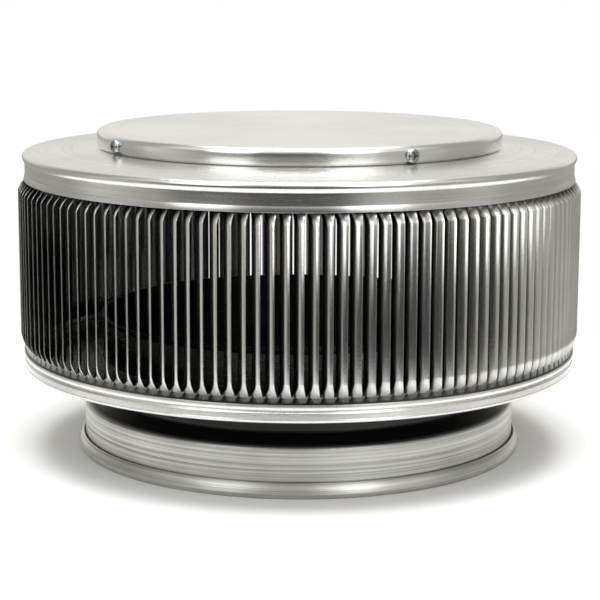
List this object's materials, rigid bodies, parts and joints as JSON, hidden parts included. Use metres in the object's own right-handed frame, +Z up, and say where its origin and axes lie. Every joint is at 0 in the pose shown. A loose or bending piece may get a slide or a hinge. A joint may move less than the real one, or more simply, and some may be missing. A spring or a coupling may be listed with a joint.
{
  "type": "vent cap",
  "caption": "Round fixed exhaust vent cap of mill-finish aluminium: a louvred drum under a screwed lid, on a hemmed collar that slips over a flue or duct pipe.",
  "frame": {"origin": "centre of the collar's hem, on the plane that the cap stands on", "axes": "+Z up the cap's axis, -Y to the front that the picture shows, +X to its right"},
  "size_m": [0.4, 0.4, 0.2279],
  "materials": {
    "spun_aluminium": "brushed",
    "louvre_aluminium": "mill",
    "zinc_steel": "zinc plated"
  },
  "bodies": {
    "root": {"collar": "spun_aluminium", "base_pan": "spun_aluminium", "louvre_band": "louvre_aluminium", "top_plate": "spun_aluminium", "top_cap": "spun_aluminium", "cap_screws": "zinc_steel"}
  },
  "joints": []
}
